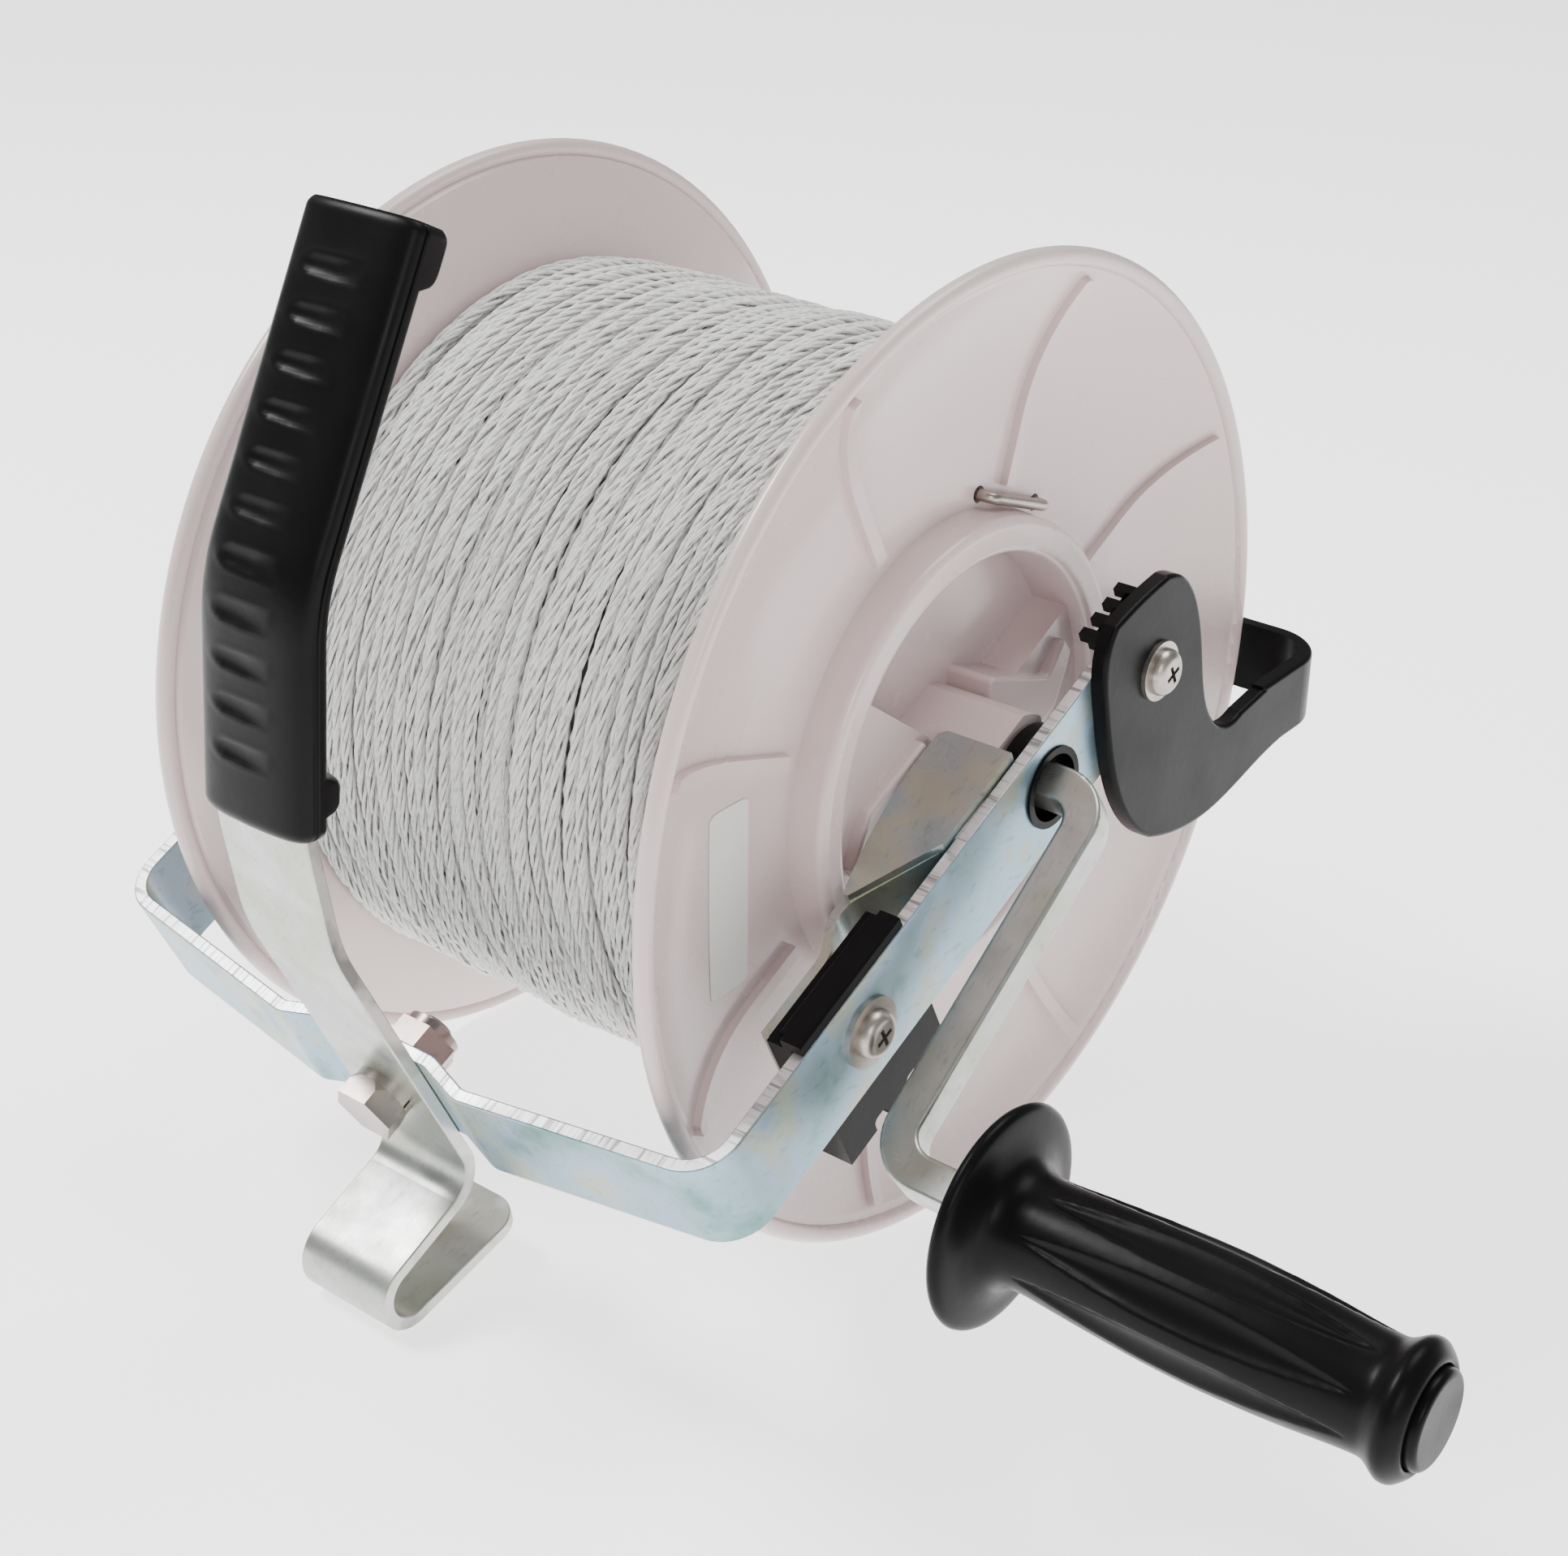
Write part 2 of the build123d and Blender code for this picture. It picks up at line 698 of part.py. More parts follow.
# ---- wire guide -------------------------------------------------------------------------------
guide_face = arm_face + 0.1
band_lean = -25.0
band_width = 17.0
band_root = (84.0, -56.5)
band_bend = 12.0
band_end = 52.0
guide_back = [(21, -38.6), (15.6, -26), (14.6, -14), (17.6, 5), (22.2, 17.5), (27.5, 21.8)]
guide_top = [(27.5, 21.8), (38, 20.3), (47, 18)]
guide_front = [(47, 18), (53, 11.5), (54.6, 2), (51.9, -13), (50.2, -27), (53.2, -35.2), (61, -38.8)]
guide_band_top = [(61, -38.8), (72, -42), (87.6, -48.8)]
guide_band_foot = [(80.4, -64.2), (59, -57.2), (43, -53.3), (30, -46.5), (21, -38.6)]
lip_teeth = 4
lip_height = 1.8
tooth_pitch = 4.6
tooth_width = 2.2
tooth_length = 7.4
tooth_height = 2.2

band_dir = along * cos(radians(band_lean)) + across * sin(radians(band_lean))
band_plane = Plane(origin=spot(0, *band_root), x_dir=right, z_dir=right.cross(band_dir))

with BuildPart() as wire_guide:
    with BuildSketch(side_at(guide_face)):
        with BuildLine():
            Spline(*guide_back)
            Spline(*guide_top)
            Spline(*guide_front)
            Polyline(*guide_band_top, guide_band_foot[0])
            Spline(*guide_band_foot)
        make_face()
    extrude(amount=guide_thick)
    # band that bends across in front of the spool
    with BuildSketch(band_plane):
        with BuildLine():
            FilletPolyline(
                (guide_face + guide_thick / 2, -18.0),
                (guide_face + guide_thick / 2, band_bend),
                (band_end, band_bend),
                radius=band_bend - 0.1,
            )
        trace(line_width=guide_thick)
    extrude(amount=band_width / 2, both=True)
    outer_face = wire_guide.faces().filter_by(Plane.YZ).sort_by(Axis(axle_at, right))[-1]
    fillet(outer_face.outer_wire().edges(), radius=1.0)
    # toothed lip over the arm's upper edge
    with BuildSketch(plan.offset(bar_width / 2 + 0.2)):
        with Locations((guide_face - 2.0, guide_screw_at - 1.5)):
            Rectangle(6.0, 16.0)
    extrude(amount=lip_height)
    for k in range(lip_teeth):
        with BuildSketch(plan.offset(bar_width / 2 + 0.2 + lip_height)):
            with Locations((guide_face - 3.0, guide_screw_at - 8.5 + tooth_pitch * k)):
                Rectangle(tooth_length, tooth_width)
        extrude(amount=tooth_height)
    with BuildSketch(side_at(guide_face)):
        with Locations((guide_screw_at, 0)):
            Circle(screw_radius + 0.1)
    extrude(amount=guide_thick, mode=Mode.SUBTRACT)
finish(wire_guide, "wire_guide")

arm_washer("guide_washer", guide_screw_at, guide_face + guide_thick, 6.6, washer_thick)
pan_screw("guide_screw", guide_screw_at, guide_face + guide_thick + washer_thick, guide_screw_tip)
hex_nut("guide_nut", guide_screw_at, guide_nut_inside, arm_inside)
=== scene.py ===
"""Looks for the wire reel: materials for the CAD pieces, and fine meshes for the grips, the wound
wire and the label.  Places are (x, along, across) in millimetres from the middle of the spool:
x along the axle, along the yoke's arms, and across the flat bar, as in the CAD model.
"""

import json
import math

import bpy
import numpy as np
from mathutils import Matrix, Vector


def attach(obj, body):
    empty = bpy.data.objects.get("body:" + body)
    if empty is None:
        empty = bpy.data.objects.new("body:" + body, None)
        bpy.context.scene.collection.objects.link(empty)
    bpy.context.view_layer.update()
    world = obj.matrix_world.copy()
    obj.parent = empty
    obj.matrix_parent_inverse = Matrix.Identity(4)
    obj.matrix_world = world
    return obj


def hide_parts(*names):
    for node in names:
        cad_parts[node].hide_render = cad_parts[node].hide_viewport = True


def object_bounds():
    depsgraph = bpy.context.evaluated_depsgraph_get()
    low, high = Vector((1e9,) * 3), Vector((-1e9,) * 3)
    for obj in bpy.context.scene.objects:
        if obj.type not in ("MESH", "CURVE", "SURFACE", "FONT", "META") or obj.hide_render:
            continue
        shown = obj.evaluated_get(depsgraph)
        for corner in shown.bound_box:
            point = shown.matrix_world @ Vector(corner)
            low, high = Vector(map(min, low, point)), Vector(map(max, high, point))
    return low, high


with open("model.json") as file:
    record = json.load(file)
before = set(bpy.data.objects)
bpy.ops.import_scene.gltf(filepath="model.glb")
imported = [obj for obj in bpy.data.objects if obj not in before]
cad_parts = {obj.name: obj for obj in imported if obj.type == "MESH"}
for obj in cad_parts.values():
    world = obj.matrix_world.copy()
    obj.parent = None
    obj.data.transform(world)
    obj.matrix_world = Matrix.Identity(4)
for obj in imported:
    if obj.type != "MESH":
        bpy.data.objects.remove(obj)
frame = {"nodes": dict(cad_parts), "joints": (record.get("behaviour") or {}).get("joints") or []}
cad_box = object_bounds()

MM = 0.001
joints = {joint["name"]: joint for joint in frame["joints"]}
AXLE = np.array(joints["spool_spin"]["pos_m"])
RIGHT = np.array((1.0, 0.0, 0.0))
ALONG = np.array(joints["lock_slide"]["axis"])
ALONG = ALONG / np.linalg.norm(ALONG)
ACROSS = np.cross(RIGHT, ALONG)


def spot(x, u, w):
    """Points in metres for places in millimetres; works on arrays too."""
    x, u, w = np.broadcast_arrays(x, u, w)
    return AXLE + MM * (x[..., None] * RIGHT + u[..., None] * ALONG + w[..., None] * ACROSS)


def direction(x, u, w):
    """A direction given by its parts along the axle, along the arms and across the bar."""
    return x * RIGHT + u * ALONG + w * ACROSS


# ---- camera -----------------------------------------------------------------------------------
LENS = 60.39
SENSOR_WIDTH = 36.0
CLIP_START = 0.01  # metres
# the camera's place and directions as (x, along, across)
CAMERA_PLACE = (342.3, -260.2, 401.5)
CAMERA_FORWARD = (-0.5563, 0.4257, -0.7136)
CAMERA_UP = (-0.2937, 0.7026, 0.6481)

camera_data = bpy.data.cameras.new("camera")
camera_data.lens = LENS
camera_data.sensor_width = SENSOR_WIDTH
camera_data.clip_start = CLIP_START
camera = bpy.data.objects.new("camera", camera_data)
bpy.context.scene.collection.objects.link(camera)
back = -Vector(direction(*CAMERA_FORWARD)).normalized()
up = Vector(direction(*CAMERA_UP))
side = up.cross(back).normalized()
up = back.cross(side)
turn = Matrix((side, up, back)).transposed().to_4x4()
camera.matrix_world = Matrix.Translation(Vector(spot(*CAMERA_PLACE))) @ turn
bpy.context.scene.camera = camera


# ---- materials --------------------------------------------------------------------------------
# metres from mid spool between which the lines of a sheared edge change from base to arm
BASE_ENDS = 0.076
ARM_STARTS = 0.080


class Shader:
    """A material's node tree with short calls for the nodes used here."""

    def __init__(self, name, color, rough, metal=0.0):
        self.material = bpy.data.materials.new(name)
        self.material.use_nodes = True
        self.tree = self.material.node_tree
        self.base = self.tree.nodes["Principled BSDF"]
        self.base.inputs["Base Color"].default_value = (*color, 1.0)
        self.base.inputs["Roughness"].default_value = rough
        self.base.inputs["Metallic"].default_value = metal
        self.places = self.tree.nodes.new("ShaderNodeTexCoord")

    def link(self, output, entry):
        """Join an output socket to an input socket."""
        self.tree.links.new(output, entry)

    def noise(self, scale, detail=4.0, stretch=None, coords="Object"):
        """A noise value; stretch scales it separately along each axis."""
        node = self.tree.nodes.new("ShaderNodeTexNoise")
        node.inputs["Scale"].default_value = scale
        node.inputs["Detail"].default_value = detail
        source = self.places.outputs[coords]
        if stretch is not None:
            mapping = self.tree.nodes.new("ShaderNodeMapping")
            mapping.inputs["Scale"].default_value = stretch
            self.link(source, mapping.inputs["Vector"])
            source = mapping.outputs["Vector"]
        self.link(source, node.inputs["Vector"])
        return node.outputs["Fac"]

    def ramp(self, value, stops):
        """A color read from (place, color) stops."""
        node = self.tree.nodes.new("ShaderNodeValToRGB")
        ramp = node.color_ramp
        while len(ramp.elements) < len(stops):
            ramp.elements.new(0.5)
        for element, (place, color) in zip(ramp.elements, stops):
            element.position = place
            element.color = (*color, 1.0)
        self.link(value, node.inputs["Fac"])
        return node.outputs["Color"]

    def spread(self, value, low, high, start=0.3, end=0.7):
        """A value that goes from low to high as the input goes from start to end."""
        node = self.tree.nodes.new("ShaderNodeMapRange")
        node.inputs["From Min"].default_value = start
        node.inputs["From Max"].default_value = end
        node.inputs["To Min"].default_value = low
        node.inputs["To Max"].default_value = high
        self.link(value, node.inputs["Value"])
        return node.outputs["Result"]

    def mix(self, fac, first, second):
        """A blend of two colors, each a socket or a tuple."""
        node = self.tree.nodes.new("ShaderNodeMix")
        node.data_type = "RGBA"
        self.link(fac, node.inputs["Factor"])
        for name, value in (("A", first), ("B", second)):
            entry = [s for s in node.inputs if s.name == name and s.type == "RGBA"][0]
            if isinstance(value, tuple):
                entry.default_value = (*value, 1.0)
            else:
                self.link(value, entry)
        return [s for s in node.outputs if s.type == "RGBA"][0]

    def bump(self, value, height, strength, under=None):
        """A normal raised by a value, height in metres, over another normal if given."""
        node = self.tree.nodes.new("ShaderNodeBump")
        node.inputs["Distance"].default_value = height
        node.inputs["Strength"].default_value = strength
        self.link(value, node.inputs["Height"])
        if under is not None:
            self.link(under, node.inputs["Normal"])
        return node.outputs["Normal"]

    def striations(self):
        """Fine lines across a sheared edge, whichever way the bar runs."""
        on_base = self.noise(1.0, 3.0, (1300.0, 60.0, 60.0))
        on_arm = self.noise(1.0, 3.0, (60.0, 900.0, 900.0))
        place = self.tree.nodes.new("ShaderNodeSeparateXYZ")
        self.link(self.places.outputs["Object"], place.inputs["Vector"])
        size = self.tree.nodes.new("ShaderNodeMath")
        size.operation = "ABSOLUTE"
        centred = self.tree.nodes.new("ShaderNodeMath")
        centred.operation = "SUBTRACT"
        centred.inputs[1].default_value = float(AXLE[0])
        self.link(place.outputs["X"], centred.inputs[0])
        self.link(centred.outputs[0], size.inputs[0])
        far_out = self.spread(size.outputs[0], 0.0, 1.0, BASE_ENDS, ARM_STARTS)
        node = self.tree.nodes.new("ShaderNodeMix")
        self.link(far_out, node.inputs["Factor"])
        self.link(on_base, node.inputs["A"])
        self.link(on_arm, node.inputs["B"])
        return node.outputs["Result"]

    def facing(self, way, start, end):
        """1 where the surface faces along or against a direction, 0 where it is side on."""
        dot = self.tree.nodes.new("ShaderNodeVectorMath")
        dot.operation = "DOT_PRODUCT"
        dot.inputs[1].default_value = tuple(way)
        self.link(self.places.outputs["Normal"], dot.inputs[0])
        size = self.tree.nodes.new("ShaderNodeMath")
        size.operation = "ABSOLUTE"
        self.link(dot.outputs["Value"], size.inputs[0])
        return self.spread(size.outputs[0], 0.0, 1.0, start, end)


def zinc(name, tones, edge=None, sheared=None, rough=(0.30, 0.46), metal=0.85):
    """Plated steel: cloudy tones, fine scratches, and brighter striated edges on sheared faces."""
    made = Shader(name, tones[1], rough[0], metal)
    cloud = made.noise(scale=45.0, detail=5.0)
    stops = [(0.30 + 0.4 * k / (len(tones) - 1), tone) for k, tone in enumerate(tones)]
    color = made.ramp(cloud, stops)
    fine = made.noise(scale=420.0, detail=5.0)
    scratch = made.noise(scale=260.0, detail=4.0, stretch=(0.25, 1.0, 1.0))
    roughness = made.spread(made.noise(scale=90.0, detail=5.0), *rough)
    marks = made.noise(scale=1.0, detail=6.0, stretch=(900.0, 240.0, 500.0))
    worn = made.spread(marks, low=0.0, high=0.28, start=0.57, end=0.70)
    color = made.mix(worn, color, tuple(0.5 * c for c in tones[0]))
    normal = made.bump(fine, height=0.00003, strength=0.5)
    normal = made.bump(scratch, height=0.00003, strength=0.35, under=normal)
    if sheared is not None:
        cut = made.facing(sheared, start=0.90, end=0.97)
        grain = made.striations()
        line_tone = tuple(0.38 * c for c in edge)
        bright = made.ramp(grain, [(0.36, line_tone), (0.50, edge)])
        color = made.mix(cut, color, bright)
        normal = made.bump(grain, height=0.00006, strength=0.5, under=normal)
    made.link(color, made.base.inputs["Base Color"])
    made.link(roughness, made.base.inputs["Roughness"])
    made.link(normal, made.base.inputs["Normal"])
    return made.material


COAT_ROUGHNESS = 0.18


def moulding(name, color, darker, rough, grain, height, coat=0.0, shine=0.5):
    """A moulded plastic or rubber with faint mottling and a fine skin texture."""
    made = Shader(name, color, rough[0])
    made.base.inputs["Specular IOR Level"].default_value = shine
    made.base.inputs["Coat Weight"].default_value = coat
    made.base.inputs["Coat Roughness"].default_value = COAT_ROUGHNESS
    tone = made.ramp(made.noise(scale=14.0), [(0.3, darker), (0.7, color)])
    roughness = made.spread(made.noise(scale=60.0, detail=5.0), *rough)
    normal = made.bump(made.noise(scale=grain, detail=3.0), height, strength=0.6)
    made.link(tone, made.base.inputs["Base Color"])
    made.link(roughness, made.base.inputs["Roughness"])
    made.link(normal, made.base.inputs["Normal"])
    return made.material


blue_tones = [
    (0.12, 0.25, 0.24),
    (0.25, 0.37, 0.41),
    (0.29, 0.41, 0.50),
    (0.38, 0.42, 0.35),
    (0.21, 0.33, 0.47),
]
pale_tones = [(0.31, 0.33, 0.31), (0.45, 0.47, 0.45), (0.39, 0.40, 0.34), (0.53, 0.55, 0.55)]
plate_tones = [(0.26, 0.34, 0.36), (0.36, 0.41, 0.41), (0.42, 0.42, 0.34), (0.30, 0.38, 0.44)]
pink_tones = [(0.22, 0.18, 0.17), (0.36, 0.30, 0.28), (0.28, 0.23, 0.22)]
dull_tones = [(0.26, 0.23, 0.20), (0.42, 0.38, 0.34), (0.34, 0.30, 0.27)]

yoke_zinc = zinc("yoke_zinc", blue_tones, edge=(0.72, 0.73, 0.73), sheared=ACROSS)
strip_zinc = zinc("strip_zinc", pale_tones, edge=(0.56, 0.56, 0.53), sheared=RIGHT)
plate_zinc = zinc("plate_zinc", plate_tones, rough=(0.24, 0.36))
rod_zinc = zinc("rod_zinc", pale_tones, rough=(0.24, 0.40))
pink_nickel = zinc("pink_nickel", pink_tones, rough=(0.20, 0.32), metal=0.95)
dull_zinc = zinc("dull_zinc", dull_tones, rough=(0.25, 0.40), metal=0.9)
spool_plastic = moulding(
    "spool_plastic",
    color=(0.67, 0.545, 0.535),
    darker=(0.63, 0.51, 0.50),
    rough=(0.20, 0.30),
    grain=220.0,
    height=0.00002,
    coat=0.15,
)
black_plastic = moulding(
    "black_plastic",
    color=(0.005, 0.005, 0.0055),
    darker=(0.003, 0.003, 0.0035),
    rough=(0.26, 0.40),
    grain=500.0,
    height=0.00004,
    shine=0.08,
)
black_rubber = moulding(
    "black_rubber",
    color=(0.004, 0.004, 0.0045),
    darker=(0.003, 0.003, 0.003),
    rough=(0.28, 0.44),
    grain=700.0,
    height=0.00004,
    shine=0.10,
)
pale_nylon = moulding(
    "pale_nylon",
    color=(0.55, 0.60, 0.68),
    darker=(0.50, 0.55, 0.62),
    rough=(0.4, 0.5),
    grain=500.0,
    height=0.00003,
)

node_materials = {
    yoke_zinc: ["yoke_frame"],
    strip_zinc: ["handle_strip"],
    plate_zinc: ["lock_plate"],
    rod_zinc: ["crank"],
    pink_nickel: ["yoke_bolt", "yoke_nut"],
    dull_zinc: [
        "yoke_spring_washer",
        "guide_screw",
        "guide_washer",
        "guide_nut",
        "lock_screw",
        "lock_washer",
        "lock_nut",
        "wire_staple",
        "axle_washer",
        "split_pin",
        "grip_push_nut",
    ],
    spool_plastic: ["near_flange", "far_flange", "spool_barrel"],
    black_plastic: ["near_bush", "far_bush", "wire_guide", "lock_slider", "grip_cap"],
    pale_nylon: ["yoke_nut_ring"],
}
for material, names in node_materials.items():
    for name in names:
        piece = frame["nodes"][name]
        piece.data.materials.clear()
        piece.data.materials.append(material)


# ---- mesh helpers -----------------------------------------------------------------------------
def grid_mesh(name, points, material, close_v=False, caps=False):
    """A smooth mesh over a grid of points shaped (rows, columns, 3)."""
    rows, columns = points.shape[:2]
    index = np.arange(rows * columns).reshape(rows, columns)
    if close_v:
        index = np.hstack((index, index[:, :1]))
    quads = np.stack((index[:-1, :-1], index[1:, :-1], index[1:, 1:], index[:-1, 1:]), -1)
    faces = quads.reshape(-1, 4).tolist()
    if caps:
        faces.append(list(range(columns)))
        faces.append(list(range(rows * columns - 1, (rows - 1) * columns - 1, -1)))
    mesh = bpy.data.meshes.new(name)
    mesh.from_pydata(points.reshape(-1, 3).tolist(), [], faces)
    mesh.materials.append(material)
    mesh.polygons.foreach_set("use_smooth", np.ones(len(mesh.polygons), bool))
    mesh.update()
    made = bpy.data.objects.new(name, mesh)
    bpy.context.scene.collection.objects.link(made)
    return made


BEND_STEPS = 24


def smooth_route(points, radius, step):
    """Lengths, points and tangents every step along a 2D polyline with rounded corners."""
    points = [np.array(p, float) for p in points]
    path = [points[0]]
    for before, corner, after in zip(points, points[1:], points[2:]):
        a = (before - corner) / np.linalg.norm(before - corner)
        b = (after - corner) / np.linalg.norm(after - corner)
        half = math.acos(np.clip(a @ b, -1, 1)) / 2
        reach = radius / math.tan(half)
        centre = corner + (a + b) / np.linalg.norm(a + b) * radius / math.sin(half)
        first = corner + a * reach - centre
        last = corner + b * reach - centre
        sweep = math.atan2(first[0] * last[1] - first[1] * last[0], first @ last)
        for k in range(BEND_STEPS + 1):
            angle = sweep * k / BEND_STEPS
            c, s = math.cos(angle), math.sin(angle)
            turned = np.array((c * first[0] - s * first[1], s * first[0] + c * first[1]))
            path.append(centre + turned)
    path.append(points[-1])
    path = np.array(path)
    lengths = np.concatenate(([0], np.cumsum(np.linalg.norm(np.diff(path, axis=0), axis=1))))
    count = int(lengths[-1] / step) + 1
    along = np.linspace(0, lengths[-1], count)
    line = np.stack([np.interp(along, lengths, path[:, k]) for k in (0, 1)], 1)
    tangent = np.gradient(line, axis=0)
    tangent /= np.linalg.norm(tangent, axis=1)[:, None]
    return along, line, tangent


# ---- handle grip ------------------------------------------------------------------------------
GRIP_ROUTE = [(-35.0, 156.15), (-90.5, 114.5), (-113.8, 75.8)]
GRIP_HALF_WIDTH = 14.6
GRIP_BEND = 45.0
GRIP_OUT = 4.5
GRIP_IN = 4.2
GRIP_CROWN = 1.3
GRIP_STEP = 0.6
GRIP_AROUND = 96
RECESSES = 11
RECESS_FIRST = 12.0
RECESS_MARGINS = 26.0
RECESS_SHIFT = 1.6
RECESS_HALF_WIDTH = 6.6
RECESS_HALF_LENGTH = 2.3
RECESS_DEPTH = 0.9
RECESS_LIP = 0.12
FACE_FROM = 0.2  # sine of the angle round the sleeve where its outer or inner face begins
END_EASE = 2.0
END_SHRINK = 0.16


def grip_sleeve():
    """The sleeve on the carrying handle: flat inside, crowned outside, with a row of recesses."""
    along, line, tangent = smooth_route(GRIP_ROUTE, GRIP_BEND, GRIP_STEP)
    length = along[-1]
    outward = np.stack((tangent[:, 1], -tangent[:, 0]), 1)
    outward *= np.sign(outward[len(outward) // 2] @ np.array((-1.0, 0.6)))
    angle = np.linspace(0, 2 * math.pi, GRIP_AROUND, endpoint=False)
    c, s = np.cos(angle), np.sin(angle)
    wide = np.sign(c) * np.abs(c) ** 0.34 * GRIP_HALF_WIDTH
    deep = np.sign(s) * np.abs(s) ** 0.5
    deep = np.where(deep > 0, deep * GRIP_OUT, deep * GRIP_IN)
    crown = np.where(s > 0, -GRIP_CROWN * (wide / GRIP_HALF_WIDTH) ** 2, 0.0)
    x = np.broadcast_to(wide, (len(along), GRIP_AROUND)).copy()
    t = np.broadcast_to(deep + crown, (len(along), GRIP_AROUND)).copy()
    at = along[:, None]
    for k in range(RECESSES):
        middle = RECESS_FIRST + (length - RECESS_MARGINS) * k / (RECESSES - 1)
        reach = ((x + RECESS_SHIFT) / RECESS_HALF_WIDTH) ** 2
        reach = reach + ((at - middle) / RECESS_HALF_LENGTH) ** 2
        hollow = np.where(s > FACE_FROM, np.clip(1 - reach, 0, 1) ** 0.9, 0)
        t -= RECESS_DEPTH * hollow
        ring = np.exp(-(((np.sqrt(reach) - 1.15) / 0.22) ** 2))
        t += np.where(s > FACE_FROM, RECESS_LIP * ring, 0)
    end_beads = ((5.0, 6.0, 3.4), (length - 8.0, 3.6, 3.2))
    for middle, half, proud in end_beads:
        bead = np.clip(1 - ((at - middle) / half) ** 4, 0, 1) ** 0.5
        t -= np.where(s < -FACE_FROM, proud * bead, 0)
    edge = np.minimum(at, length - at)
    shrink = 1 - END_SHRINK * np.clip(1 - edge / END_EASE, 0, 1) ** 2
    x *= 1 - (1 - shrink) * 0.5
    t = np.where(t > 0, t * shrink, t)
    u = line[:, None, 0] + outward[:, None, 0] * t
    w = line[:, None, 1] + outward[:, None, 1] * t
    return grid_mesh("handle_grip_sleeve", spot(x, u, w), black_rubber, close_v=True, caps=True)


handle_sleeve = grip_sleeve()
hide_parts("handle_grip")
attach(handle_sleeve, "frame")

# ---- crank grip -------------------------------------------------------------------------------
SPINDLE = np.array(joints["grip_spin"]["pos_m"])
FLUTES = 8
FLUTE_PHASE = 0.15
FLUTE_START = 134.0
FLUTE_END = 201.0
FLUTE_WIDTH = 0.34
FLUTE_DEPTH = 1.3
PROFILE_STEP = 0.7
TURNING_AROUND = 160
GRIP_PROFILE = [
    (119.6, 4.1),
    (119.6, 9.0),
    (121.6, 20.8),
    (122.3, 22.3),
    (123.6, 22.95),
    (124.8, 22.2),
    (125.3, 20.6),
    (126.0, 16.5),
    (127.4, 13.1),
    (130.0, 11.5),
    (134.0, 11.25),
    (146.0, 12.1),
    (160.0, 12.9),
    (172.0, 13.05),
    (186.0, 12.4),
    (198.0, 11.3),
    (203.4, 11.0),
    (205.2, 11.9),
    (207.0, 13.2),
    (208.0, 13.55),
    (209.4, 13.3),
    (211.0, 11.8),
    (211.7, 10.8),
    (211.7, 9.7),
    (208.5, 9.7),
]


def rounded_profile(points, step):
    """A profile resampled every step, with its corners eased by two rounds of corner cutting."""
    points = np.array(points, float)
    for _ in range(2):
        cut = [points[0]]
        for a, b in zip(points, points[1:]):
            cut.append(0.8 * a + 0.2 * b)
            cut.append(0.2 * a + 0.8 * b)
        cut.append(points[-1])
        points = np.array(cut)
    lengths = np.concatenate(([0], np.cumsum(np.linalg.norm(np.diff(points, axis=0), axis=1))))
    at = np.linspace(0, lengths[-1], int(lengths[-1] / step))
    return np.stack([np.interp(at, lengths, points[:, k]) for k in (0, 1)], 1)


def fluted_grip():
    """The turning grip: collar, slim neck, fuller belly with lens-shaped flutes, end bead."""
    profile = rounded_profile(GRIP_PROFILE, PROFILE_STEP)
    x = profile[:, 0][:, None]
    angle = np.linspace(0, 2 * math.pi, TURNING_AROUND, endpoint=False)[None, :]
    phase = (angle * FLUTES / (2 * math.pi) + FLUTE_PHASE) % 1.0 - 0.5
    place = np.clip((x - FLUTE_START) / (FLUTE_END - FLUTE_START), 0, 1)
    width = FLUTE_WIDTH * np.sin(math.pi * place) ** 0.7 + 1e-6
    inside = np.clip(1 - (phase / width) ** 2, 0, 1)
    depth = FLUTE_DEPTH * inside**0.8 * np.sin(math.pi * place) ** 0.4
    flute = np.where((x > FLUTE_START) & (x < FLUTE_END), depth, 0)
    radius = profile[:, 1][:, None] - flute
    points = np.empty((len(profile), TURNING_AROUND, 3))
    points[..., 0] = AXLE[0] + MM * x
    points[..., 1] = SPINDLE[1] + MM * radius * np.cos(angle)
    points[..., 2] = SPINDLE[2] + MM * radius * np.sin(angle)
    return grid_mesh("crank_grip_fluted", points, black_plastic, close_v=True)


turning_grip = fluted_grip()
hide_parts("crank_grip")
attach(turning_grip, "turning_grip")

# ---- wound wire -------------------------------------------------------------------------------
PACK_RADIUS = 84.0
PACK_SIDE = 54.4
STRANDS = 5
STRAND = 0.50
STRAND_OFFSET = 0.84
TWIST_PITCH = 19.0
STRAND_SIDES = 4
TURNS = 44
GROUPS = 3
SIDE_LIMIT = PACK_SIDE - STRAND - STRAND_OFFSET
TOP_DEPTH = 1.8
UNDER_DEPTH = 3.4
# depth under the pack's outside of the dark painted-shade cylinder, and its steps round
GAP_SHADE_DEPTH = 4.2
GAP_SHADE_AROUND = 128
TWIST_WOBBLE = 0.25
FULL_SAMPLES = 288
random = np.random.default_rng(7)


def polywire_material():
    """Pale plastic strands with fine fibres along them, some of them darker."""
    pale = (0.80, 0.79, 0.77)
    made = Shader("polywire", pale, 0.5)
    fibre = made.noise(scale=1.0, detail=3.0, stretch=(1.0, 12.0, 1.0), coords="UV")
    tone = made.ramp(fibre, [(0.32, (0.30, 0.29, 0.28)), (0.44, pale), (0.8, (0.90, 0.90, 0.89))])
    made.link(tone, made.base.inputs["Base Color"])
    made.link(made.spread(made.noise(scale=40.0), 0.38, 0.6), made.base.inputs["Roughness"])
    made.link(made.bump(fibre, height=0.00025, strength=0.8), made.base.inputs["Normal"])
    return made.material


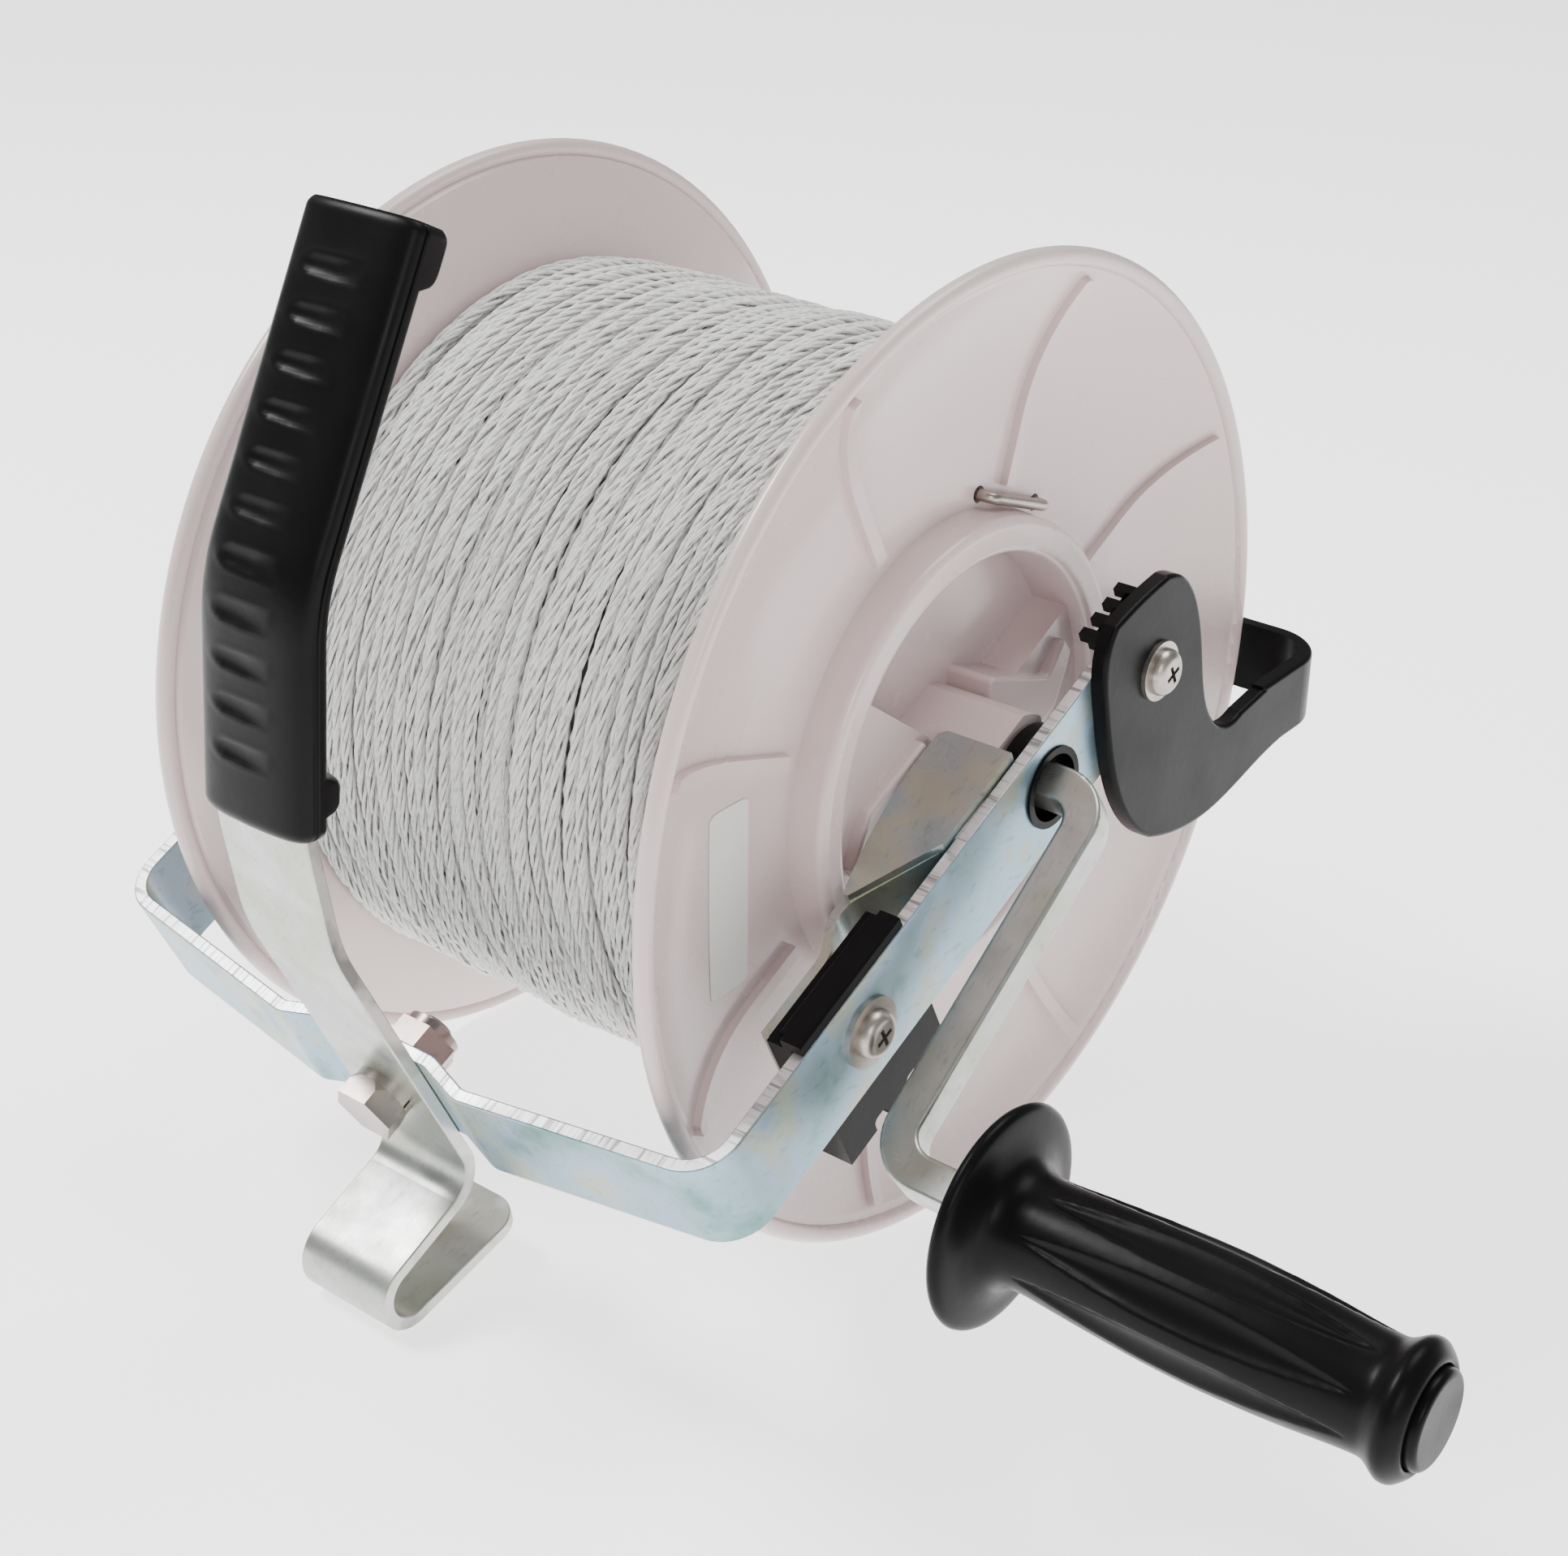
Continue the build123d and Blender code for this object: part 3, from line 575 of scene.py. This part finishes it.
def wave(angle, count, size):
    """A smooth closed wobble round the pack."""
    total = np.zeros_like(angle)
    for k in range(1, count + 1):
        height = random.normal(0, size / k**0.5)
        total += height * np.sin(k * angle + random.uniform(0, 2 * math.pi))
    return total


def ring_corners(grid):
    """The four corners of every cell of a grid, in the order of a face."""
    return grid[:-1, :-1], grid[:-1, 1:], grid[1:, 1:], grid[1:, :-1]


def strands(name, turns, radius, wobble, lift, samples):
    """Turns of loosely twisted wire round the axle, as one mesh."""
    vertices, faces, uvs = [], [], []
    angle = np.linspace(0, 2 * math.pi, samples, endpoint=False)
    around = np.linspace(0, 2 * math.pi, STRAND_SIDES, endpoint=False)
    for middle in turns:
        x = middle + wave(angle, 4, wobble)
        r = radius + wave(angle, 5, lift)
        x = np.clip(x, -SIDE_LIMIT, SIDE_LIMIT)
        twists = round(2 * math.pi * radius / TWIST_PITCH) + random.integers(-3, 4)
        start = random.uniform(0, 2 * math.pi)
        for strand in range(STRANDS):
            spin = start + twists * angle + strand * 2 * math.pi / STRANDS
            spin = spin + wave(angle, 6, TWIST_WOBBLE)
            cx = x + STRAND_OFFSET * np.cos(spin)
            cr = r + STRAND_OFFSET * np.sin(spin)
            first = len(vertices) * samples * STRAND_SIDES
            px = cx[:, None] + STRAND * np.cos(around)[None, :]
            pr = cr[:, None] + STRAND * np.sin(around)[None, :]
            pu = pr * np.cos(angle)[:, None]
            pw = pr * np.sin(angle)[:, None]
            vertices.append(spot(px, pu, pw).reshape(-1, 3))
            index = np.arange(samples * STRAND_SIDES).reshape(samples, STRAND_SIDES)
            index = first + index
            index = np.vstack((index, index[:1]))
            index = np.hstack((index, index[:, :1]))
            faces.append(np.stack(ring_corners(index), -1).reshape(-1, 4))
            offset = random.uniform(0, 50)
            length = np.arange(samples + 1) / samples * 2 * math.pi * radius / 2.0 + offset
            side_place = np.arange(STRAND_SIDES + 1) / STRAND_SIDES + offset
            length, side_place = np.broadcast_arrays(length[:, None], side_place[None, :])
            places = np.stack((length, side_place), -1)
            uvs.append(np.stack(ring_corners(places), 2).reshape(-1, 2))
    vertices = np.concatenate(vertices)
    faces = np.concatenate(faces)
    mesh = bpy.data.meshes.new(name)
    mesh.vertices.add(len(vertices))
    mesh.vertices.foreach_set("co", vertices.astype(np.float32).ravel())
    mesh.loops.add(faces.size)
    mesh.loops.foreach_set("vertex_index", faces.astype(np.int32).ravel())
    mesh.polygons.add(len(faces))
    mesh.polygons.foreach_set("loop_start", np.arange(0, faces.size, 4, dtype=np.int32))
    mesh.polygons.foreach_set("use_smooth", np.ones(len(faces), bool))
    layer = mesh.uv_layers.new(name="length")
    layer.data.foreach_set("uv", np.concatenate(uvs).astype(np.float32).ravel())
    mesh.materials.append(polywire)
    mesh.update(calc_edges=True)
    mesh.validate()
    made = bpy.data.objects.new(name, mesh)
    bpy.context.scene.collection.objects.link(made)
    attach(made, "spool")
    return made


polywire = polywire_material()
spread_turns = np.linspace(-SIDE_LIMIT, SIDE_LIMIT, TURNS)
samples = FULL_SAMPLES
groups = np.array_split(spread_turns, GROUPS)
for number, group in enumerate(groups, start=1):
    radius = PACK_RADIUS - TOP_DEPTH
    name = f"wire_winding_{number}"
    winding = strands(name, group, radius, wobble=1.0, lift=0.4, samples=samples)
    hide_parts("wire_pack")
under = spread_turns[:-1] + (spread_turns[1] - spread_turns[0]) / 2
under_radius = PACK_RADIUS - UNDER_DEPTH
strands("wire_underlayer", under, under_radius, wobble=0.3, lift=0.15, samples=samples // 3)

# An open dark grey cylinder under the wire turns: painted shade that shows in the gaps between the
# strands, in place of the shaded wire beneath.
shade_sheet_x = np.array((-PACK_SIDE, PACK_SIDE))[:, None]
shade_sheet_angle = np.linspace(0, 2 * math.pi, GAP_SHADE_AROUND, endpoint=False)[None, :]
shade_sheet_radius = PACK_RADIUS - GAP_SHADE_DEPTH
shade_sheet_points = spot(shade_sheet_x, shade_sheet_radius * np.cos(shade_sheet_angle), shade_sheet_radius * np.sin(shade_sheet_angle))
wire_gap_shade = moulding(
    "wire_shadow",
    color=(0.14, 0.135, 0.13),
    darker=(0.10, 0.095, 0.09),
    rough=(0.7, 0.9),
    grain=300.0,
    height=0.0002,
)
shade_sheet = grid_mesh("wire_gap_shade_sheet", shade_sheet_points, wire_gap_shade, close_v=True)
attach(shade_sheet, "spool")

# ---- label ------------------------------------------------------------------------------------
DISC_FACE = 57.5
FLARE_START = 72.0
FLARE_RADIUS = 56.6
LABEL_LENGTH = 41.0
LABEL_WIDTH = 12.0
LABEL_CORNER = 1.6
LABEL_LEAN = -116.0
LABEL_CENTRE = (-66.3, 25.6)  # along, across
LABEL_PROUD = 0.15
LABEL_ROWS = 60
LABEL_COLUMNS = 14
label_paper = moulding(
    "label_paper",
    color=(0.74, 0.72, 0.70),
    darker=(0.71, 0.69, 0.67),
    rough=(0.45, 0.55),
    grain=300.0,
    height=0.00001,
)
label_along = np.linspace(-LABEL_LENGTH / 2, LABEL_LENGTH / 2, LABEL_ROWS)[:, None]
straight_half = LABEL_LENGTH / 2 - LABEL_CORNER
end_gap = np.clip(np.abs(label_along) - straight_half, 0, LABEL_CORNER)
half_width = LABEL_WIDTH / 2 - LABEL_CORNER + np.sqrt(LABEL_CORNER**2 - end_gap**2)
label_side = np.linspace(-1, 1, LABEL_COLUMNS)[None, :] * half_width
lean_cos = math.cos(math.radians(LABEL_LEAN))
lean_sin = math.sin(math.radians(LABEL_LEAN))
label_u = LABEL_CENTRE[0] + label_along * lean_cos + label_side * lean_sin
label_w = LABEL_CENTRE[1] + label_along * lean_sin - label_side * lean_cos
past_flat = np.clip(np.hypot(label_u, label_w) - FLARE_START, 0, None)
label_rise = FLARE_RADIUS - np.sqrt(FLARE_RADIUS**2 - past_flat**2)
label_points = spot(DISC_FACE + LABEL_PROUD + label_rise, label_u, label_w)
label = grid_mesh("blank_label", label_points, label_paper)
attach(label, "spool")


# ---- floor and light --------------------------------------------------------------------------
FLOOR_HALF = 4.0
FLOOR_GAP = 0.0002
FLOOR_GLOW = 1.7
SKY_STRENGTH = 0.36
LIGHT_TARGET = (0, 0, 0.1)


def floor():
    """A pale, faintly glowing floor under the reel."""
    near, far = -FLOOR_HALF, FLOOR_HALF
    points = np.array([[(near, near, 0), (near, far, 0)], [(far, near, 0), (far, far, 0)]], float)
    points[..., 2] = cad_box[0].z - FLOOR_GAP
    pale = Shader("floor_pale", (0.95, 0.95, 0.95), 0.7)
    pale.base.inputs["Emission Color"].default_value = (1.0, 1.0, 1.0, 1.0)
    pale.base.inputs["Emission Strength"].default_value = FLOOR_GLOW
    made = grid_mesh("floor", points, pale.material)


def lamp(name, place, size, power):
    """A square soft light aimed at the reel; place and size in metres, power in watts."""
    data = bpy.data.lights.new(name, "AREA")
    data.shape = "SQUARE"
    data.size = size
    data.energy = power
    made = bpy.data.objects.new(name, data)
    made.location = place
    made.rotation_euler = (Vector(LIGHT_TARGET) - Vector(place)).to_track_quat("-Z", "Y").to_euler()
    bpy.context.scene.collection.objects.link(made)


floor()
world = bpy.data.worlds.new("studio")
world.use_nodes = True
sky = world.node_tree.nodes["Background"]
sky.inputs["Color"].default_value = (1.0, 1.0, 1.0, 1.0)
sky.inputs["Strength"].default_value = SKY_STRENGTH
bpy.context.scene.world = world
lamp("key", place=(-0.9, -0.5, 1.3), size=0.5, power=28.0)
lamp("fill", place=(1.3, -0.9, 0.8), size=0.6, power=8.0)
lamp("top", place=(0.2, 0.6, 1.5), size=0.8, power=14.0)
